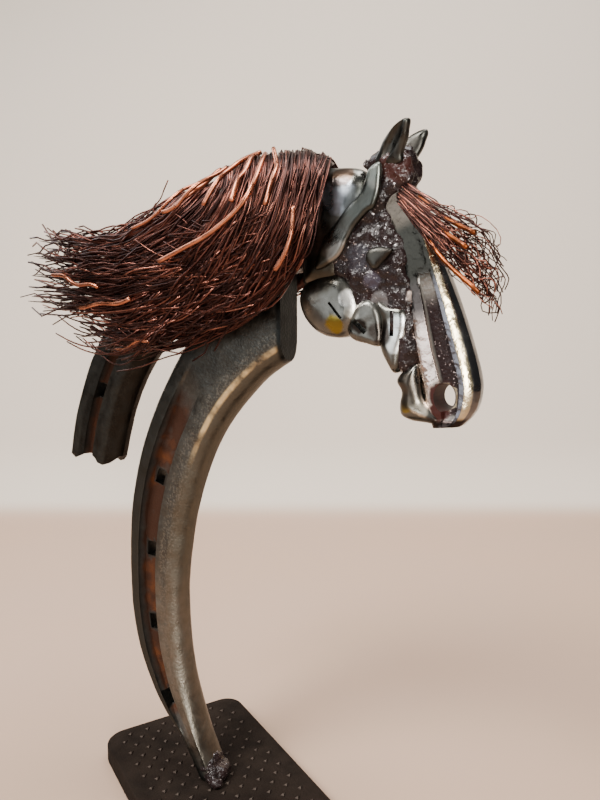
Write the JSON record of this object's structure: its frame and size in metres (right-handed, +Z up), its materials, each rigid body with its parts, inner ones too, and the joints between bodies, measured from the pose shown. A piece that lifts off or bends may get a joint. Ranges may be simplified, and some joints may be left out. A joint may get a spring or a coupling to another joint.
{
  "type": "horse head sculpture",
  "caption": "Welded steel horse head of horseshoe halves with a copper wire mane and forelock, on a plate cut from a rasp; stands on its underside.",
  "frame": {"origin": "middle of the plate's flat underside", "axes": "+Z up, +X the way the horse faces, +Y the horse's left"},
  "size_m": [0.1396, 0.0908, 0.1751],
  "materials": {
    "rasp": "dark oxidised tool steel",
    "shoe": "brushed, darkened",
    "polished": "ground and polished",
    "weld": "dark glossy weld",
    "wire": "tarnished copper",
    "copper": "bright copper"
  },
  "bodies": {
    "root": {"rasp_plate": "rasp", "foot_weld": "weld", "neck_shoe": "shoe", "crest_shoe": "shoe", "throat_weld": "weld", "face_bar": "polished", "cheek_shoe": "polished", "jaw_bridge": "polished", "mandible": "polished", "chin": "polished", "cheek_band_right": "polished", "cheek_band_left": "polished", "eye_right": "polished", "eye_left": "polished", "ear_right": "shoe", "ear_left": "shoe", "head_weld": "weld", "mane": "wire", "forelock": "copper"}
  },
  "joints": []
}
